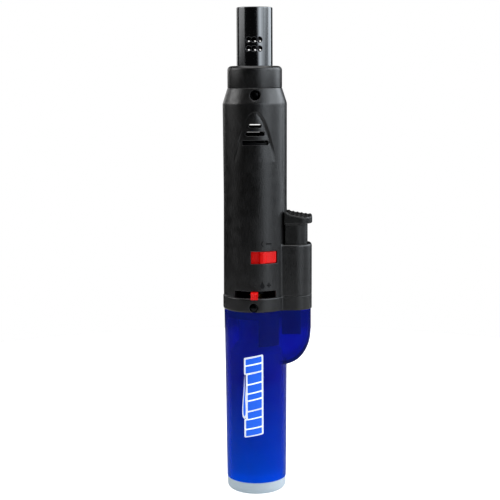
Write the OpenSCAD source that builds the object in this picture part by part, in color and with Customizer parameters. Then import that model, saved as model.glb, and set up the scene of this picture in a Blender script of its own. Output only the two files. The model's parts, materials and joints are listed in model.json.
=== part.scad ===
// Refillable butane stick torch for lampwork: a flame tube on a moulded upper housing, a side pod
// with the thumb button and the piezo igniter, and a translucent sleeve over the fuel tank.
// Millimetres. +Z is up, the origin is the centre of the foot, the pod is on +X, the front faces -Y.

/* [Flame tube] */
// Height of the whole torch
total_h = 203; // [202:0.5:206]
// Outside radius of the flame tube
flame_tube_r = 7.42; // [7.35:0.01:7.45]
// Wall of the flame tube
flame_tube_wall = 0.5; // [0.4:0.05:0.6]
// Radius of each air hole in the flame tube
air_hole_r = 1.15; // [0.8:0.05:1.2]

/* [Housing] */
// Radius of the housing at its waist
housing_r = 13.1; // [13.0:0.05:13.2]
// Wall of the housing
housing_wall = 1.2; // [1.0:0.1:1.3]
// Radius of the nozzle cap
nozzle_cap_r = 11.28; // [11:0.02:11.4]
// Radius of the collar ring
collar_r = 13.75; // [13.6:0.05:14]

/* [Pod] */
// Furthest reach of the pod from the main axis
pod_reach = 23.6; // [23.3:0.1:24]
// Half of the pod's width
pod_half_w = 8.25; // [8.1:0.05:8.4]
// Radius of the pod's vertical corners
pod_corner_r = 7.2; // [6.5:0.1:7.6]
// Travel of the thumb button
button_travel = 5.5; // [4.5:0.1:5.5]

/* [Tank] */
// Radius of the foot of the tank
foot_r = 12.5; // [12.3:0.1:12.7]
// Height of the foot below the sleeve
foot_h = 5.2; // [5:0.1:5.5]
// Radius of the sleeve at its top
sleeve_top_r = 13.15; // [13.05:0.05:13.2]
// Wall of the sleeve
sleeve_wall = 1.3; // [1.2:0.05:1.35]

/* [Controls] */
// Width of the flame lever's tip
lever_w = 3.2; // [2.8:0.1:3.4]
// Angle of the flame lever from the front, towards the pod
lever_rest_angle = -3.4; // [-10:0.1:0]
// Angle of the lock slider's ridge from the front, towards the pod
lock_ridge_angle = 13.3; // [11:0.1:14]

/* [Hidden] */
$fn = 64;

black_plastic = [0.10, 0.10, 0.11];
charcoal = [0.16, 0.16, 0.17];
torch_red = [0.85, 0.05, 0.05];
brass = [0.80, 0.64, 0.32];
steel = [0.70, 0.71, 0.73];
ceramic = [0.93, 0.92, 0.88];

eps = 0.01;                                   // overlap that makes two unioned solids one
cut = 0.5;                                    // how far a cutter runs past the face it opens
fit_gap = 0.05;                               // radial clearance of parts that are pressed home
slide_gap = 0.08;                             // radial clearance of round parts that slide or turn

// Heights of the joints between the large mouldings
collar_z0 = 78.4;
collar_z1 = 84.4;
cone_z0 = total_h - 39;
cap_z0 = total_h - 32.6;
cap_z1 = total_h - 23.7;
pod_rim_z = 106;
tube_seat_r = flame_tube_r - 0.2;              // the flame tube is turned down where the nozzle cap holds it

// Main shells
housing_top_r = housing_r + 0.14;             // the housing flares a little at both ends
housing_foot_r = housing_r + 0.3;
housing_in_r = housing_r - housing_wall;
nose_in_r = 9.6;
pod_in_wall = 1.15;
passage_top_z = 101;                          // the housing wall between body and pod starts above this

// Lock window and lever slot, as angles from the front towards the pod
lock_window = [-9, 41.6];
lock_z = [98.7, 103.8];
lever_slot = [-41, 37.6];
lever_z = [84.7, 87.0];

// Bell crank that lifts the valve stem
crank_x = 6.8;
crank_z = 91;
crank_tip = [10.4, 85];
crank_tip_r = 0.5;
crank_angle = 8;
wedge_gap = 0.17;
// The wedge's face leans by this much, so that the crank turns through its angle over the button's travel
wedge_step = (crank_z - crank_tip[1]) * sin(crank_angle) + (crank_tip[0] - crank_x) * (1 - cos(crank_angle));

// Piezo igniter
piezo_x = [14.0, 18.1];
piezo_half_w = 4.6;
piezo_z = [68.9, 93];
piezo_wall = 0.4;
plunger_top_z = 104.5;

// Routes of the inner hose and wire, each a list of points chosen by hand
hose_route = [[0, 0, 97.4], [0, 0, 100], [0.4, 0, 104], [1.3, 0, 110], [2.3, 0, 116], [3.0, 0, 122],
    [3.2, 0, 129], [3.2, 0, 138], [3.2, 0, 150], [3.2, 0, 154.6]];
hose_r = 1.2;
hose_bore_r = 0.72;
wire_route = [[12.25, 4, 80], [12.25, 4, 85], [11.6, 4.6, 88.5], [10.4, 5.1, 92], [9.6, 5.2, 96],
    [9.3, 5.2, 102], [8.9, 5.2, 112], [8.2, 5.0, 124], [7.3, 4.4, 138], [6.8, 4.0, 144], [6.8, 4.0, 150],
    [5.6, 3.2, 155], [4.7, 2.7, 158]];
wire_r = 0.6;
electrode_xy = [4.7, 2.7];

// ---------- outlines and helpers ----------

// Points on an arc about c, from angle a0 to a1 in n steps
function arc(c, r, a0, a1, n) =
    [for (i = [0:n]) c + r * [cos(a0 + (a1 - a0) * i / n), sin(a0 + (a1 - a0) * i / n)]];

// Plan of the pod: straight sides from the main axis, with rounded outer corners
function pod_plan(reach, half_w, corner, inner = 0) = concat(
    [[inner, -half_w]],
    arc([reach - corner, corner - half_w], corner, -90, 0, 10),
    arc([reach - corner, half_w - corner], corner, 0, 90, 10),
    [[inner, half_w]]);

function unit(v) = v / norm(v);

// Side and end faces of a tube of n rings with s points each
function tube_faces(n, s) = concat(
    [[for (j = [0:s - 1]) j]],
    [for (i = [0:n - 2], j = [0:s - 1])
        [i * s + j, (i + 1) * s + j, (i + 1) * s + (j + 1) % s, i * s + (j + 1) % s]],
    [[for (j = [s - 1:-1:0]) (n - 1) * s + j]]);

// A round solid of radius r swept along a route that mostly climbs
module sweep(route, r, sides = 8) {
    n = len(route);
    points = [for (i = [0:n - 1])
        let (t = unit(route[min(i + 1, n - 1)] - route[max(i - 1, 0)]),
             u = unit(cross([0, 1, 0], t)),
             v = cross(t, u))
        for (j = [0:sides - 1]) route[i] + r * (cos(360 * j / sides) * u + sin(360 * j / sides) * v)];
    polyhedron(points, tube_faces(n, sides), convexity = 4);
}

// A helical compression spring about the vertical axis through xy
module coil_spring(xy, r, wire, z0, z1, turns, steps = 14, sides = 6) {
    n = turns * steps;
    climb = z1 - z0 - 2 * wire;
    points = [for (i = [0:n])
        let (a = 360 * i / steps, out = [cos(a), sin(a), 0],
             c = [xy[0], xy[1], z0 + wire + climb * i / n] + r * out)
        for (j = [0:sides - 1]) c + wire * (cos(-360 * j / sides) * out + sin(-360 * j / sides) * [0, 0, 1])];
    polyhedron(points, tube_faces(n + 1, sides), convexity = 10);
}

// A solid of revolution from a list of [radius, z] points
module turned(points) {
    rotate_extrude() polygon(points);
}

module rod(z0, z1, r, xy = [0, 0]) {
    translate([xy[0], xy[1], z0]) cylinder(r = r, h = z1 - z0);
}

module tube(z0, z1, r, bore) {
    difference() {
        rod(z0, z1, r);
        rod(z0 - cut, z1 + cut, bore);
    }
}

module block(x, y, z) {
    translate([x[0], y[0], z[0]]) cube([x[1] - x[0], y[1] - y[0], z[1] - z[0]]);
}

// A cylinder that lies along a radius, at an angle from the front towards the pod
module radial_rod(angle, z, r0, r1, r) {
    rotate([0, 0, angle]) translate([0, -r0, z]) rotate([90, 0, 0]) cylinder(r = r, h = r1 - r0);
}

// A wedge of the annulus r0..r1 between two angles from the front towards the pod
module sector(angles, r0, r1, z) {
    steps = 12;
    span = angles[1] - angles[0];
    translate([0, 0, z[0]]) linear_extrude(z[1] - z[0])
        polygon(concat(arc([0, 0], r0, angles[0] - 90, angles[1] - 90, steps),
            arc([0, 0], r1 / cos(span / steps / 2), angles[1] - 90, angles[0] - 90, steps)));
}

// A vertical prism on the pod's plan
module pod_prism(z, reach, half_w, corner, inner = 0) {
    translate([0, 0, z[0]]) linear_extrude(z[1] - z[0]) polygon(pod_plan(reach, half_w, corner, inner));
}

module pod_cavity(z, inner = 0) {
    pod_prism(z, pod_reach - pod_in_wall, pod_half_w - pod_in_wall, pod_corner_r - pod_in_wall, inner);
}

// A prism along Y on an outline in X and Z
module side_prism(points, y) {
    translate([0, y[1], 0]) rotate([90, 0, 0]) linear_extrude(y[1] - y[0]) polygon(points);
}

// ---------- upper housing ----------

// Slots of the air inlet, each as [bottom z, top z, width]
vent_slots = [[154.4, 155.9, 5.1], [151.0, 152.8, 7.7], [147.3, 149.2, 10.9]];
back_vent_lift = 0.5;                         // the slots in the back wall start this much higher

// Round-ended slot in the front or the back wall
module vent(z, width, y) {
    r = (z[1] - z[0]) / 2;
    half = width / 2 - r;
    block([-half, half], y, z);
    for (x = [-half, half])
        translate([x, y[1], z[0] + r]) rotate([90, 0, 0]) cylinder(r = r, h = y[1] - y[0]);
}

// Outline of the raised air inlet: an arch whose legs spread downwards
arch_apex_z = 160.8;
arch_foot_z = 141;
arch_foot_x = 8.5;
arch_w = 1.0;
arch_power = 0.46;                            // how fast the arch spreads: 0.5 would be a parabola
function arch_x(z, inset) =
    (arch_foot_x - inset) * pow((arch_apex_z - inset - z) / (arch_apex_z - arch_foot_z), arch_power);
function arch_side(inset, sign) = [for (i = [0:8])
    let (z = arch_apex_z - inset - (arch_apex_z - inset - arch_foot_z) * i / 8)
        [sign * arch_x(z, inset), z]];

// Groove round the air inlet, cut a little way into the front and back walls
module arch_groove() {
    outer = concat(arch_side(0, 1), [for (i = [8:-1:1]) arch_side(0, -1)[i]]);
    inner = concat(arch_side(arch_w, 1), [for (i = [8:-1:1]) arch_side(arch_w, -1)[i]]);
    difference() {
        side_prism(outer, [-20, 20]);
        side_prism(inner, [-20 - cut, 20 + cut]);
        rod(arch_foot_z - 5, arch_apex_z + 5, housing_r - 0.45);
    }
}

module main_housing() {
    color(charcoal) difference() {
        union() {
            turned([[0, collar_z1], [housing_foot_r, collar_z1], [housing_r, 125], [housing_top_r, cone_z0],
                [nozzle_cap_r, cap_z0], [0, cap_z0]]);
            pod_prism([collar_z1, pod_rim_z], pod_reach, pod_half_w, pod_corner_r);
        }
        turned([[0, collar_z1 - cut], [housing_in_r, collar_z1 - cut], [housing_in_r, cone_z0 - 3.5],
            [nose_in_r, cone_z0 + 2], [nose_in_r, cap_z0 + cut], [0, cap_z0 + cut]]);
        // The pod is hollow; above the passage the housing's own wall closes its inner side
        difference() {
            pod_cavity([collar_z1 - cut, pod_rim_z + cut], 9);
            rod(passage_top_z, pod_rim_z + 2 * cut, housing_r + 0.1);
        }
        for (slot = vent_slots) {
            vent([slot[0], slot[1]], slot[2], [-20, 0]);
            vent([slot[0] + back_vent_lift, slot[1]], slot[2], [0, 20]);
        }
        arch_groove();
        sector(lock_window, housing_in_r - 1, housing_r + 2, lock_z);
        sector(lever_slot, housing_in_r - 1, housing_r + 2, [collar_z1 - cut, lever_z[1] + 0.3]);
        radial_rod(0, cap_z0 - 3.1, 8, 15, 2.1);
    }
}

module nozzle_cap() {
    bore = tube_seat_r + fit_gap;
    spigot_r = nose_in_r - fit_gap;
    edge = 1.7;
    color(charcoal) difference() {
        turned(concat(
            [[bore, cap_z0 - 4.4], [spigot_r, cap_z0 - 4.4], [spigot_r, cap_z0], [nozzle_cap_r, cap_z0]],
            arc([nozzle_cap_r - edge, cap_z1 - edge], edge, 0, 90, 8),
            [[bore, cap_z1]]));
        radial_rod(0, cap_z0 - 3.1, 6, 10, 1.05);
    }
}

// ---------- collar and chassis ----------

collar_screw_angle = -4;
collar_screw_z = 80.45;

module collar_ring() {
    color(black_plastic) difference() {
        union() {
            rod(collar_z0, collar_z1, collar_r);
            pod_prism([collar_z0, collar_z1], pod_reach, pod_half_w, pod_corner_r);
        }
        rod(collar_z0 - cut, collar_z1 + cut, housing_in_r);
        pod_cavity([collar_z0 - cut, collar_z1 + cut]);
        radial_rod(collar_screw_angle, collar_screw_z, 12.6, 16, 1.9);
        radial_rod(collar_screw_angle, collar_screw_z, 10, 16, 1.0);
    }
}

module inner_chassis() {
    plate_z = [79.2, 81];
    r_out = housing_in_r - fit_gap;
    spigot_r = sleeve_top_r - sleeve_wall - 0.12;
    tongue_r = spigot_r - 0.3;
    post_x = [crank_x - 1.3, crank_x + 1.3];
    color(black_plastic) difference() {
        union() {
            tube(plate_z[0], collar_z1 - 0.4, r_out, r_out - 1.1);
            rod(plate_z[0], plate_z[1], r_out - 0.6);
            tube(75, plate_z[0] + 0.5, spigot_r, spigot_r - 0.9);
            // Tongue that locates the sleeve at the front, and its pair at the back
            for (span = [[5, 55], [125, 175]]) sector(span, tongue_r - 0.5, tongue_r, [63.6, 76]);
            // Boss behind the collar screw
            rotate([0, 0, collar_screw_angle])
                block([-2.2, 2.2], [-r_out + 0.5, -7.5], [plate_z[0] + 0.6, 83]);
            // Posts that carry the rocker pin
            for (y = [[-5, -3.6], [3.6, 5]]) block(post_x, y, [plate_z[1] - eps, 92.8]);
            // Socket that holds the igniter in the pod
            block([10.7, piezo_x[1] + 0.6], [-piezo_half_w - 0.9, piezo_half_w + 0.9], [67.8, plate_z[1]]);
        }
        rod(plate_z[0] - 5, plate_z[1] + 3, 5.4);
        block([piezo_x[0] - fit_gap, piezo_x[1] + fit_gap], [-piezo_half_w - fit_gap, piezo_half_w + fit_gap],
            [piezo_z[0], plate_z[1] + 5]);
        // Room for the button's wedge, for the igniter wire, and round the tank's neck
        block([9.9, 12.9], [-2.9, 2.9], [77, plate_z[1] + 5]);
        rod(79.5, plate_z[1] + 5, wire_r + 0.2, [12.25, 4]);
        rod(60, 78.8, 10.6);
        translate([crank_x, 6, crank_z]) rotate([90, 0, 0]) cylinder(r = 0.8 + 0.02, h = 12);
        radial_rod(collar_screw_angle, collar_screw_z, 8.4, 13, 0.95);
    }
}

module collar_screw() {
    color(steel) difference() {
        union() {
            radial_rod(collar_screw_angle, collar_screw_z, 8.6, 12.65, 0.9);
            radial_rod(collar_screw_angle, collar_screw_z, 12.65, 13.35, 1.75);
        }
        rotate([0, 0, collar_screw_angle]) for (turn = [0, 90])
            translate([0, -13.3, collar_screw_z]) rotate([0, turn, 0]) cube([2.2, 0.7, 0.5], center = true);
    }
}

// ---------- sleeve and tank ----------

bulge_centre = [10.5, 70.2];
bulge_axes = [12.7, 15.0];

// Outline in X and Z of the pod's lower end, which curves back to the sleeve; t is taken off all round
function bulge_outline(t, top) = concat([[0, top], [bulge_centre[0] + bulge_axes[0] + 0.5 - t, top]],
    [for (a = [0:6:90]) bulge_centre + [(bulge_axes[0] - t) * cos(a), -(bulge_axes[1] - t) * sin(a)]],
    [[0, bulge_centre[1] - bulge_axes[1] + t]]);

sleeve_profile = [[-0.65, foot_h], [-0.48, 19], [-0.38, 37], [-0.25, 52], [0, collar_z0]];

module tank_sleeve() {
    outer = [for (p = sleeve_profile) [sleeve_top_r + p[0], p[1]]];
    inner = [for (p = sleeve_profile) [sleeve_top_r - sleeve_wall + p[0], p[1]]];
    pod_t = 0.1;
    color([0.05, 0.08, 0.75, 0.6]) difference() {
        union() {
            turned(concat([[0, foot_h]], outer, [[0, collar_z0]]));
            intersection() {
                pod_prism([50, collar_z0], pod_reach - pod_t, pod_half_w - pod_t, pod_corner_r - pod_t);
                side_prism(bulge_outline(0, collar_z0), [-10, 10]);
            }
        }
        turned(concat([[0, foot_h - cut], [inner[0][0], foot_h - cut]], inner,
            [[inner[4][0], collar_z0 + cut], [0, collar_z0 + cut]]));
        intersection() {
            pod_cavity([50, collar_z0 + cut]);
            side_prism(bulge_outline(1.2, collar_z0 + cut), [-10, 10]);
        }
    }
}

module fuel_tank() {
    tank_r = 10.9;
    in_r = 9.6;
    neck_r = 7.2;
    neck_in_r = 5.9;
    edge = 2.2;
    color([0.85, 0.88, 0.86, 0.5]) turned(concat([[9, 0]], arc([foot_r - edge, edge], edge, -90, 0, 8),
        [[foot_r, foot_h], [tank_r, foot_h], [tank_r, 60], [neck_r, 64.5], [neck_r, 76], [neck_in_r, 76],
         [neck_in_r, 63.5], [in_r, 59], [in_r, 6.4], [8.6, 5.4], [4.6, 5.4], [4.6, 9], [3 + fit_gap, 9],
         [3 + fit_gap, 3], [9, 3]]));
}

module tank_cap() {
    color(black_plastic) turned([[3.5 + fit_gap, 70], [5.85, 70], [5.85, 71.6], [4.9, 71.6], [4.9, 73.2],
        [5.85, 73.2], [5.85, 76], [7.2, 76], [7.2, 78], [3.5 + fit_gap, 78]]);
}

module cap_oring() {
    color([0.12, 0.12, 0.12]) rotate_extrude() translate([5.4, 72.4]) circle(r = 0.47);
}

// ---------- filling valve ----------

module fill_valve_body() {
    color(brass) difference() {
        union() {
            rod(2, 12, 3);
            rod(2, 3, 4.2);
        }
        rod(2 - cut, 4.4, 1.5);
        rod(4.4 - eps, 5.4, 1.2);
        rod(5.4 - eps, 6.4 + eps, 0.7);
        rod(6.4, 11.2, 1.9);
        rod(11.2 - eps, 12 + cut, 0.6);
    }
}

module fill_valve_seal() {
    color([0.1, 0.1, 0.1]) tube(6.4, 7.15, 1.85, 0.72);
}

module fill_pin() {
    color(steel) union() {
        rod(4.8, 7.3, 0.6);
        rod(7.25, 8.4, 1.7);
    }
}

module fill_spring() {
    color(steel) coil_spring([0, 0], 1.25, 0.16, 8.45, 11.15, 4);
}

// ---------- outlet valve and flame adjuster ----------

stem_r = 1.2;

module outlet_valve_body() {
    color(brass) difference() {
        union() {
            rod(66, 84.6, 3.5);
            rod(78, 84.6, 4.4);
            rod(84.6 - eps, 88, 3.5);
        }
        rod(66 - cut, 78, 2.0);
        rod(78 - eps, 88 + cut, stem_r + slide_gap);
    }
}

module valve_seat() {
    color(steel) tube(66.2, 70, 1.95, 0.4);
}

module valve_filter() {
    color(ceramic) rod(61, 66.2, 1.9);
}

module valve_stem() {
    barb_r = hose_bore_r - slide_gap;
    color(brass) difference() {
        union() {
            rod(70.2, 72, 0.9);
            rod(72, 73.4, 1.8);
            rod(73.4 - eps, 92 + eps, stem_r);
            rod(92, 93, 2.7);
            rod(93 - eps, 96, barb_r);
        }
        rod(80, 96 + cut, 0.3);
    }
}

module valve_spring() {
    color(steel) coil_spring([0, 0], 1.56, 0.18, 73.5, 77.95, 5);
}

module flame_lever() {
    reach = 15.3;
    color(torch_red) rotate([0, 0, lever_rest_angle]) difference() {
        union() {
            rod(lever_z[0], lever_z[1], 6);
            block([-lever_w / 2, lever_w / 2], [-reach, -4], [lever_z[0], lever_z[1]]);
            // Tip, which hangs a little way down in front of the collar ring
            block([-lever_w / 2, lever_w / 2], [-reach, -collar_r - 0.25], [collar_z1 - 0.35, lever_z[1]]);
        }
        rod(lever_z[0] - cut, lever_z[1] + cut, 3.5 + slide_gap);
        // Notches across the tip, for the thumbnail
        for (x = [-0.8, 0, 0.8]) translate([x, -reach, collar_z1 - 1]) rod(0, 4, 0.2);
    }
}

// Bell crank: a fork under the stem's flange, and a leg that the button's wedge pushes aside
module gas_rocker() {
    half_w = 3.2;
    leg_half_w = 2.2;
    angle = atan2(crank_z - crank_tip[1], crank_tip[0] - crank_x);
    leg = norm([crank_z - crank_tip[1], crank_tip[0] - crank_x]);
    color([0.75, 0.75, 0.72]) difference() {
        union() {
            translate([crank_x, half_w, crank_z]) rotate([90, 0, 0]) cylinder(r = 1.6, h = 2 * half_w);
            block([-0.7, crank_x], [-half_w, half_w], [crank_z - 0.9, crank_z + 0.5]);
            for (y = [-2.3, 2.3])
                translate([0, y + 0.6, crank_z + 0.35]) rotate([90, 0, 0]) cylinder(r = 0.5, h = 1.2);
            translate([crank_x, -leg_half_w, crank_z]) rotate([0, angle, 0]) translate([0, 0, -0.6])
                cube([leg, 2 * leg_half_w, 1.1]);
            translate([crank_tip[0], leg_half_w, crank_tip[1]]) rotate([90, 0, 0])
                cylinder(r = crank_tip_r, h = 2 * leg_half_w);
        }
        translate([crank_x, half_w + cut, crank_z]) rotate([90, 0, 0])
            cylinder(r = 0.8 + slide_gap, h = 2 * (half_w + cut));
        block([-2, 3.4], [-1.6, 1.6], [crank_z - 2, crank_z + 1]);
    }
}

module rocker_pin() {
    color(steel) translate([crank_x, 5, crank_z]) rotate([90, 0, 0]) cylinder(r = 0.8, h = 10);
}

// ---------- lock slider ----------

module lock_slider() {
    plate_r = housing_in_r - 0.15;
    ridge_half = 6.2;
    ridge = [lock_ridge_angle - ridge_half, lock_ridge_angle + ridge_half];
    top_r = housing_r + 0.6;
    window_z = [lock_z[0] + 0.25, lock_z[1] - 0.25];
    color(torch_red) union() {
        sector([-23.5, 57.5], plate_r - 0.9, plate_r - 0.1, [lock_z[0] - 1.4, lock_z[1] + 1.4]);
        sector(ridge, plate_r - 0.5, top_r, window_z);
        sector([ridge[1] - 1, lock_window[1] - 0.8], plate_r - 0.5, housing_r - 0.15, window_z);
    }
}

// ---------- thumb button and igniter ----------

head_reach = pod_reach + 0.1;
stem_reach = 21.8;
stem_half_w = 7.0;
button_in_r = housing_r + 0.35;                // the button's inner face runs round the housing
head_half_w = 7.6;
head_crown_r = 24.8;

module thumb_button() {
    skirt_z = 99;
    head_z = 114.5;
    wall = 1.1;
    inner_wall = 0.9;
    wedge_x = crank_tip[0] + crank_tip_r + wedge_gap;
    wedge_z = crank_tip[1] - 0.4;
    pad_slope = 9;
    pad_top = [[9, 120.2], [13, 120.2], [14.2, 119.4], [head_reach, 117.9]];
    color(black_plastic) difference() {
        union() {
            difference() {
                union() {
                    // Head, crowned from side to side, its top falling away from the housing
                    intersection() {
                        pod_prism([110, 125], head_reach, head_half_w, 5.2);
                        side_prism(concat([[head_reach, head_z], [9, head_z]], pad_top), [-9, 9]);
                        translate([13, 0, 120.1 - head_crown_r]) rotate([0, 90 + pad_slope, 0])
                            translate([0, 0, -12]) cylinder(r = head_crown_r, h = 30);
                    }
                    pod_prism([skirt_z, head_z + eps], stem_reach, stem_half_w, 5.2);
                }
                rod(skirt_z - cut, 125, button_in_r);
            }
            // Tongue with the wedge that moves the bell crank
            block([11.3, 12.5], [-2.4, 2.4], [84.2, 100.4]);
            block([11.3, button_in_r + inner_wall], [-2.4, 2.4], [skirt_z, 100.4]);
            side_prism([[11.4, 84.2], [wedge_x, wedge_z], [wedge_x - wedge_step, wedge_z + button_travel],
                [wedge_x - wedge_step, 91], [11.4, 92.4]], [-2.4, 2.4]);
        }
        difference() {
            pod_prism([skirt_z - cut, head_z - 1.2], stem_reach - wall, stem_half_w - wall, 4.1);
            rod(skirt_z - 2 * cut, head_z, button_in_r + inner_wall);
            // Post that presses the igniter's plunger
            block([14.7, 17.4], [-2.5, 2.5], [plunger_top_z, head_z]);
        }
        // Grooves between the ribs of the thumb pad
        for (x = [15.2:1.75:22.5]) translate([x, 10, 120.1 - (x - 13) * tan(pad_slope)]) rotate([90, 0, 0])
            cylinder(r = 0.4, h = 20, $fn = 20);
    }
}

module piezo_case() {
    w = piezo_wall;
    color(black_plastic) difference() {
        block(piezo_x, [-piezo_half_w, piezo_half_w], piezo_z);
        block([piezo_x[0] + w, piezo_x[1] - w], [-piezo_half_w + w, piezo_half_w - w],
            [piezo_z[0] + 1.1, piezo_z[1] + cut]);
    }
}

module piezo_plunger() {
    g = piezo_wall + 0.15;
    x = [piezo_x[0] + g, piezo_x[1] - g];
    y = [-piezo_half_w + g, piezo_half_w - g];
    color([0.85, 0.84, 0.80]) difference() {
        block(x, y, [82, plunger_top_z]);
        translate([(x[0] + x[1]) / 2, 0, 82 - cut]) cylinder(r = 1.1, h = 100.5 - 82 + cut);
    }
}

piezo_axis = [(piezo_x[0] + piezo_x[1]) / 2, 0];

module piezo_crystal() {
    color([0.55, 0.55, 0.5]) rod(piezo_z[0] + 1.1, 75, 1.5, piezo_axis);
}

module piezo_hammer() {
    color(steel) union() {
        rod(75, 76, 1.5, piezo_axis);
        rod(76 - eps, 81, 0.55, piezo_axis);
    }
}

module piezo_spring() {
    color(steel) coil_spring(piezo_axis, 0.85, 0.17, 76.05, 100.4, 11, 12);
}

module ignition_wire() {
    color([0.75, 0.1, 0.1]) sweep(wire_route, wire_r);
}

// ---------- gas path and burner ----------

barb_x = hose_route[9][0];

module gas_hose() {
    color([0.8, 0.8, 0.78, 0.8]) union() {
        sweep(hose_route, hose_r, 12);
        difference() {
            rod(94.1, 97.9, hose_r + 0.15);
            rod(94.1 - cut, 97.4, hose_bore_r);
        }
    }
}

// Disc that closes off the air chamber below the air slots, with holes for the hose and the wire
module chamber_floor() {
    color(black_plastic) difference() {
        rod(146.2, 148.2, housing_in_r - fit_gap);
        rod(146.2 - cut, 148.2 + cut, hose_r + slide_gap, [barb_x, 0]);
        rod(146.2 - cut, 148.2 + cut, wire_r + slide_gap, [6.8, 4.0]);
    }
}

module burner_mount() {
    color([0.55, 0.56, 0.58]) difference() {
        union() {
            rod(158, 160.2, housing_in_r - 0.1);
            rod(160.2 - eps, 166, 9.2);
            rod(154.6, 158 + eps, 0.9, [barb_x, 0]);
        }
        rod(158 - cut, 164.6, 2.0);
        rod(164.6 - eps, 166 + cut, 3.05);
        rod(158 - cut, 166 + cut, 1.15, electrode_xy);
        // Gas passage from the hose to the jet
        rod(154.6 - cut, 161.5, 0.4, [barb_x, 0]);
        translate([1, 0, 161.2]) rotate([0, 90, 0]) cylinder(r = 0.4, h = barb_x - 0.8);
    }
}

module jet_nozzle() {
    color(brass) difference() {
        union() {
            rod(158, 164.4, 1.95);
            translate([0, 0, 164.4 - eps]) cylinder(r1 = 1.6, r2 = 0.8, h = 2);
        }
        rod(159.5, 165.8, 0.8);
        rod(165, 167, 0.15);
        translate([0, 0, 161.2]) rotate([0, 90, 0]) cylinder(r = 0.4, h = 4);
    }
}

module mixing_tube() {
    color(brass) difference() {
        tube(164.7, 176, 3.0, 2.3);
        for (turn = [0, 90])
            rotate([0, 0, turn]) translate([0, 5, 168.4]) rotate([90, 0, 0]) cylinder(r = 0.9, h = 10);
    }
}

module burner_head() {
    ports = 8;
    color(steel) difference() {
        turned([[0, 176], [4.0, 176], [4.2, 178], [4.2, 183.2], [3.6, 183.8], [0, 183.8]]);
        rod(176 - cut, 181.5, 2.3);
        rod(181, 184 + cut, 0.9);
        for (i = [0:ports - 1]) rotate([0, 0, 360 * i / ports]) rod(181, 184 + cut, 0.35, [2.1, 0]);
    }
}

hole_rows = [total_h - 16.85, total_h - 13.3];
hole_angles = [-20, -2, 16];

// Ring pressed into the flame tube: its skirt hangs behind the air holes, and small ports in it feed
// the flame
ring_seat_z = [total_h - 11.4, total_h - 10.6];
ring_skirt_z0 = total_h - 18.4;
ring_skirt_r = [5.0, 5.4];
port_r = 0.45;
port_x = [-2.34, 0.26, 2.34];
port_drop = 0.28;                             // the ports lie this much below the air holes

module flame_ring() {
    color([0.2, 0.2, 0.21]) difference() {
        turned([[ring_skirt_r[0], ring_skirt_z0], [ring_skirt_r[1], ring_skirt_z0],
            [ring_skirt_r[1], ring_seat_z[0]], [flame_tube_r - flame_tube_wall - 0.02, ring_seat_z[0]],
            [flame_tube_r - flame_tube_wall - 0.02, ring_seat_z[1]], [ring_skirt_r[0], ring_seat_z[1]]]);
        for (z = hole_rows, x = port_x)
            translate([x, 8, z - port_drop]) rotate([90, 0, 0]) cylinder(r = port_r, h = 16, $fn = 24);
    }
}

module flame_tube() {
    edge = 0.45;
    r = flame_tube_r;
    bore = r - flame_tube_wall;
    color([0.2, 0.2, 0.21]) difference() {
        turned(concat([[bore, 166.1], [tube_seat_r, 166.1], [tube_seat_r, cap_z1 + 0.3], [r, cap_z1 + 0.3]],
            arc([r - edge, total_h - edge], edge, 0, 90, 6), [[bore, total_h]]));
        for (z = hole_rows, a = hole_angles, back = [0, 180])
            radial_rod(a + back, z, bore - 1, r + 1, air_hole_r);
    }
}

module electrode_insulator() {
    color(ceramic) difference() {
        rod(158.2, 178, 1.1, electrode_xy);
        rod(158, 178 + cut, 0.38, electrode_xy);
    }
}

module electrode() {
    bend = [[electrode_xy[0], electrode_xy[1], 182.6], [4.2, 2.4, 183.8], [3.5, 2.0, 184.5],
        [2.6, 1.5, 184.9]];
    color(steel) union() {
        rod(158.2, 182.7, 0.35, electrode_xy);
        sweep(bend, 0.34, 12);
    }
}

module nose_screw() {
    z = cap_z0 - 3.1;
    color(steel) difference() {
        union() {
            radial_rod(0, z, tube_seat_r + 0.02, 9.6, 0.95);
            radial_rod(0, z, 9.6, 10.3, 1.75);
        }
        for (turn = [0, 90])
            translate([0, -10.3, z]) rotate([0, turn, 0]) cube([2.2, 0.7, 0.5], center = true);
    }
}

main_housing();
nozzle_cap();
collar_ring();
inner_chassis();
tank_sleeve();
fuel_tank();
tank_cap();
cap_oring();
fill_valve_body();
fill_valve_seal();
fill_pin();
fill_spring();
outlet_valve_body();
valve_seat();
valve_filter();
valve_stem();
valve_spring();
gas_rocker();
rocker_pin();
flame_lever();
lock_slider();
thumb_button();
piezo_plunger();
piezo_case();
piezo_spring();
piezo_hammer();
piezo_crystal();
ignition_wire();
gas_hose();
chamber_floor();
burner_mount();
jet_nozzle();
mixing_tube();
burner_head();
flame_ring();
flame_tube();
electrode_insulator();
electrode();
collar_screw();
nose_screw();
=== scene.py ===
"""Looks of the lampwork torch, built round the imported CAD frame. Shapes are worked out in mm."""
import json
import math

import bmesh
import bpy
import numpy as np
from mathutils import Matrix, Vector


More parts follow.
